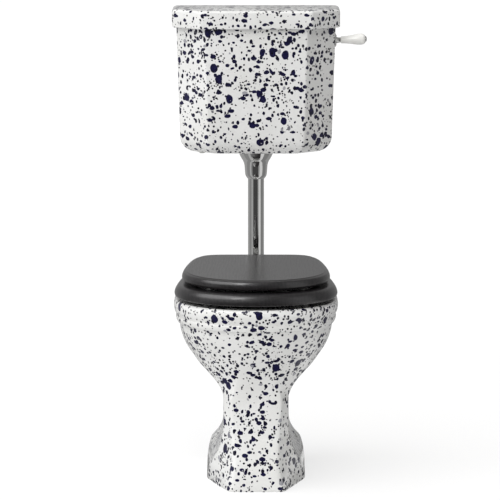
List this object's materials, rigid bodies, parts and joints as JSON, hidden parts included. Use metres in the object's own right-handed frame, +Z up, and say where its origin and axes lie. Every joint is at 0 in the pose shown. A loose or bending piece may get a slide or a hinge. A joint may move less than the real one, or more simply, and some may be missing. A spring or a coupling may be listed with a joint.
{
  "type": "toilet with low-level cistern",
  "caption": "White china toilet: octagonal foot, oval bowl, hinged dark seat and lid, chrome flush pipe, tapered cistern with lift-off lid, siphon and side lever; dark ink-like splashes.",
  "frame": {"origin": "on the floor, in the middle of the rear rim of the pan's hollow foot", "axes": "+Z up; +Y towards the wall behind the cistern; +X to the side with the flush lever"},
  "size_m": [0.458, 0.685, 1.0495],
  "materials": {
    "china": "gloss glaze, white with dark ink-like splashes",
    "seat_wood": "satin, near-black stain",
    "chrome": "polished",
    "brass": "satin",
    "rubber": "matte",
    "fittings_plastic": "matte",
    "float_plastic": "matte"
  },
  "bodies": {
    "fixed": {"pan": "china", "screw_cap_left": "china", "screw_cap_right": "china", "cistern_body": "china", "hinge_rod": "chrome", "hinge_pillar_left": "chrome", "hinge_pillar_right": "chrome", "rod_nut_left": "chrome", "rod_nut_right": "chrome", "flush_pipe": "chrome", "pipe_shroud": "chrome", "lever_bush": "chrome", "floor_screw_left": "brass", "floor_screw_right": "brass", "seat_bolt_left": "brass", "seat_bolt_right": "brass", "wing_nut_left": "brass", "wing_nut_right": "brass", "arm_pin": "brass", "seat_washer_left": "rubber", "seat_washer_right": "rubber", "cone_washer": "rubber", "flush_cone": "rubber", "siphon_washer": "rubber", "fill_valve_washer": "rubber", "siphon_back_nut": "fittings_plastic", "siphon_body": "fittings_plastic", "lever_back_nut": "fittings_plastic", "fill_valve_shank": "fittings_plastic", "fill_valve_nut": "fittings_plastic", "valve_head": "fittings_plastic"},
    "seat_ring_body": {"seat_ring": "seat_wood", "ring_hinge_left": "chrome", "ring_hinge_right": "chrome", "ring_buffer_front_left": "rubber", "ring_buffer_front_right": "rubber", "ring_buffer_rear_left": "rubber", "ring_buffer_rear_right": "rubber"},
    "seat_lid_body": {"seat_lid": "seat_wood", "lid_hinge_left": "chrome", "lid_hinge_right": "chrome", "lid_buffer_front_left": "rubber", "lid_buffer_front_right": "rubber", "lid_buffer_rear_left": "rubber", "lid_buffer_rear_right": "rubber"},
    "lever_body": {"lever_arm": "chrome", "lever_grip": "china", "lever_end_cap": "chrome"},
    "lift_body": {"lift_rod": "brass", "siphon_plate": "fittings_plastic", "siphon_diaphragm": "rubber"},
    "float_body": {"float_arm": "brass", "float_ball": "float_plastic"},
    "cistern_lid_body": {"cistern_lid": "china"}
  },
  "joints": [
    {"name": "seat_ring_hinge", "type": "hinge", "parent": "fixed", "child": "seat_ring_body", "pos_m": [0, 0.001, 0.4515], "axis": [-1, 0, 0], "range_deg": [0, 93]},
    {"name": "seat_lid_hinge", "type": "hinge", "parent": "seat_ring_body", "child": "seat_lid_body", "pos_m": [0, 0.001, 0.4515], "axis": [1, 0, 0], "range_deg": [-93, 0]},
    {"name": "flush_lever", "type": "hinge", "parent": "fixed", "child": "lever_body", "pos_m": [0.18114, 0.151, 0.97064], "axis": [0, 1, 0], "range_deg": [0, 22]},
    {"name": "lift_rod_slide", "type": "slide", "parent": "fixed", "child": "lift_body", "axis": [0, 0, 1], "range_m": [0, 0.0424]},
    {"name": "float_arm_hinge", "type": "hinge", "parent": "fixed", "child": "float_body", "pos_m": [-0.103, 0.203, 0.936], "axis": [0, 1, 0], "range_deg": [0, 40]},
    {"name": "cistern_lid_lift", "type": "slide", "parent": "fixed", "child": "cistern_lid_body", "axis": [0, 0, 1], "range_m": [0, 0.15]}
  ],
  "couplings": [
    {"joint": "lift_rod_slide", "follows": "flush_lever", "m_per_rad": 0.11}
  ]
}
